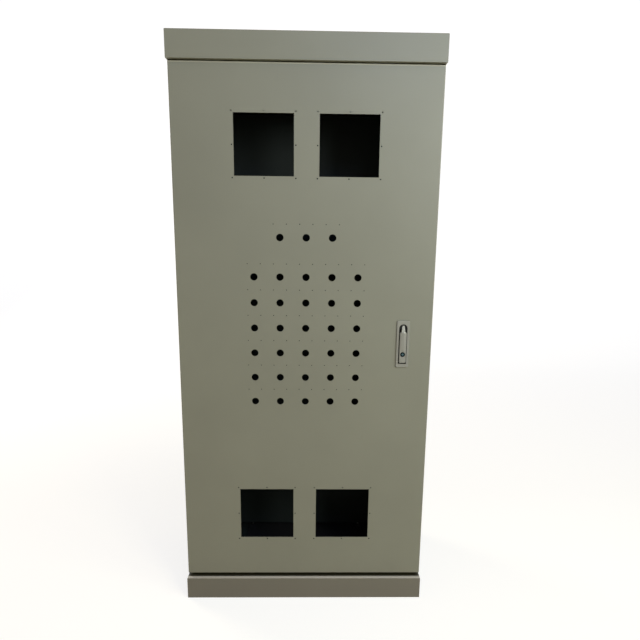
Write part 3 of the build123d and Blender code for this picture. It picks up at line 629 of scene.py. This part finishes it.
# %% Finishes on the pieces
# The floor panel takes the plate's near-black finish as painted shade; the door's finish has its painted edge
# highlight.
OWN_FINISH = {"floor_panel": "plate_paint", "door_panel": "door_paint"}
slot_of = {row["node"]: row["material_slot"] for row in frame["record"]["subparts"]}
for name, piece in nodes.items():
    piece.data.materials.clear()
    piece.data.materials.append(finishes[OWN_FINISH.get(name, slot_of[name])])
print(len(finishes), "finishes on", len(nodes), "pieces")

# %% [markdown]
# The seal is a bead of foam that is poured on to the door's rear flange, so its section is domed and its
# corners are round. A half ellipse carried round a rounded rectangle gives that, and it takes the place of
# the square ring.

# %% Foam seal
SEAL_WIDTH = 0.010
SEAL_CORNER = 0.012
CORNER_STEPS = 9
DOME_STEPS = 11


def rounded_ring(low, high, radius, steps):
    """Points (x, z) and outward directions of a rectangle whose corners are quarter circles."""
    quarter = math.pi / 2
    turn = np.linspace(0.0, quarter, steps)
    angle = np.concatenate([turn + corner * quarter for corner in range(4)])
    out = np.stack([np.cos(angle), np.sin(angle)], 1)
    right = np.repeat([1, 0, 0, 1], steps)
    upper = np.repeat([1, 1, 0, 0], steps)
    x = np.where(right, high[0] - radius, low[0] + radius)
    z = np.where(upper, high[1] - radius, low[1] + radius)
    return np.stack([x, z], 1) + radius * out, out


def seal_bead(low, high, base, crown, width, corner):
    """Half ellipse from base to crown along Y, carried round the ring along the middle of its width."""
    ring, out = rounded_ring(low, high, corner, CORNER_STEPS)
    angle = np.linspace(0.0, math.pi, DOME_STEPS)
    across = width / 2 * np.cos(angle)
    points = np.empty((len(ring), DOME_STEPS, 3))
    points[:, :, 0] = ring[:, None, 0] + across * out[:, None, 0]
    points[:, :, 1] = base + (crown - base) * np.sin(angle)
    points[:, :, 2] = ring[:, None, 1] + across * out[:, None, 1]
    return points


low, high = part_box("door_gasket")
half = SEAL_WIDTH / 2
inner_low = (low[0] + half, low[2] + half)
inner_high = (high[0] - half, high[2] - half)
bead = seal_bead(inner_low, inner_high, low[1], high[1], SEAL_WIDTH, SEAL_CORNER)
seal = grid_piece("foam_seal", bead, loop_rows=True, loop_columns=True)
seal.data.materials.append(finishes["gasket_foam"])
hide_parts("door_gasket")
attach(seal, "door")
print("seal of", len(seal.data.polygons), "faces")

# %% [markdown]
# The front of the handle is crowned, so that it fills the hand: it is a little higher along its middle line,
# and light from one side shades it from edge to edge. The crown is a low dome with a parabola as its section
# and rounded ends, from the push button to the shoulder. Its back lies just inside the handle, so no gap
# shows round it.

# %% Crown of the handle
CROWN_MARGIN = 0.0016
CROWN_RISE = 0.0018
CROWN_SINK = 0.0003
CROWN_CORNER = 0.006
CROWN_GAP = 0.0025
SHOULDER_SHARE = 0.845
CROWN_END_STEPS = 9
CROWN_COLUMNS = 32


def crown_points(middle, half, face, bottom, top):
    """Parabola (width cos t, rise sin t squared) with a sunk back; both sizes end in a quarter circle."""
    turn = np.linspace(0.0, math.pi / 2, CROWN_END_STEPS)
    end = CROWN_CORNER * (1.0 - np.cos(turn))
    along = np.concatenate([bottom + end, (top - end)[::-1]])
    fade = np.concatenate([np.sin(turn), np.sin(turn)[::-1]])[:, None]
    t = np.linspace(0.0, 2 * math.pi, CROWN_COLUMNS, endpoint=False)
    lift = np.sin(t) ** 2 * np.where(np.sin(t) > 0.0, CROWN_RISE, -CROWN_SINK)
    points = np.empty((len(along), CROWN_COLUMNS, 3))
    points[:, :, 0] = middle + (half - CROWN_CORNER * (1.0 - fade)) * np.cos(t)
    points[:, :, 1] = face - fade * lift
    points[:, :, 2] = along[:, None]
    return points


low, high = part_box("handle_lever")
crown_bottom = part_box("lock_button")[1][2] + CROWN_GAP
crown_top = low[2] + SHOULDER_SHARE * (high[2] - low[2])
middle = (low[0] + high[0]) / 2
half = (high[0] - low[0]) / 2 - CROWN_MARGIN
dome = crown_points(middle, half, low[1], crown_bottom, crown_top)
crown = grid_piece("handle_crown", dome, loop_columns=True)
crown.data.materials.append(finishes["satin_die_cast"])
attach(crown, "handle")
print("crown of", len(crown.data.polygons), "faces, rising", CROWN_RISE, "m")

# %% [markdown]
# The two earth studs are screws with a visible thread. A thread is a tube whose radius follows a triangle
# wave, and the wave climbs by one pitch in each turn. It fades over the last turn at both ends, as a rolled
# thread runs out.

# %% Threads of the earth studs
SHANK = 0.004
THREAD_DEPTH = 0.0004
PITCH = 0.00125
NUT_TOP = 0.0066
END_CAP = 0.0001
ROWS_PER_PITCH = 8
THREAD_COLUMNS = 24
Y_AXIS, Z_AXIS = 1, 2


def thread_points(length):
    """Tube along Z: shank + depth times a triangle wave of (height / pitch - turn), with closed ends."""
    rows = int(length / PITCH * ROWS_PER_PITCH)
    along = np.linspace(0.0, length, rows)[:, None]
    turn = np.linspace(0.0, 1.0, THREAD_COLUMNS, endpoint=False)
    wave = 1.0 - np.abs(2.0 * ((along / PITCH - turn) % 1.0) - 1.0)
    fade = np.clip(np.minimum(along, length - along) / PITCH, 0.0, 1.0)
    pole = np.zeros((1, THREAD_COLUMNS))
    radius = np.concatenate([pole, SHANK + THREAD_DEPTH * wave * fade, pole])
    height = np.broadcast_to(np.concatenate([along[:1], along, along[-1:]]), radius.shape)
    angle = 2 * math.pi * turn
    return np.stack([radius * np.cos(angle), radius * np.sin(angle), height], 2)


def stud_thread(node, body, axis):
    """Thread along an axis, from the nut's top to the end of a stud that is centred on its box."""
    low, high = (np.array(corner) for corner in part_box(node))
    base = (low + high) / 2
    base[axis] = low[axis] + NUT_TOP
    points = thread_points(high[axis] - base[axis] + END_CAP)
    turned = np.roll(points, axis - Z_AXIS, axis=-1)
    piece = grid_piece(node + "_thread", turned + base, loop_columns=True)
    piece.data.materials.append(finishes["zinc_fastener"])
    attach(piece, body)
    return piece


threads = [
    stud_thread("body_earth_stud", "cabinet", Z_AXIS),
    stud_thread("door_earth_stud", "door", Y_AXIS),
]
print(len(threads), "threads of", len(threads[0].data.polygons), "faces")
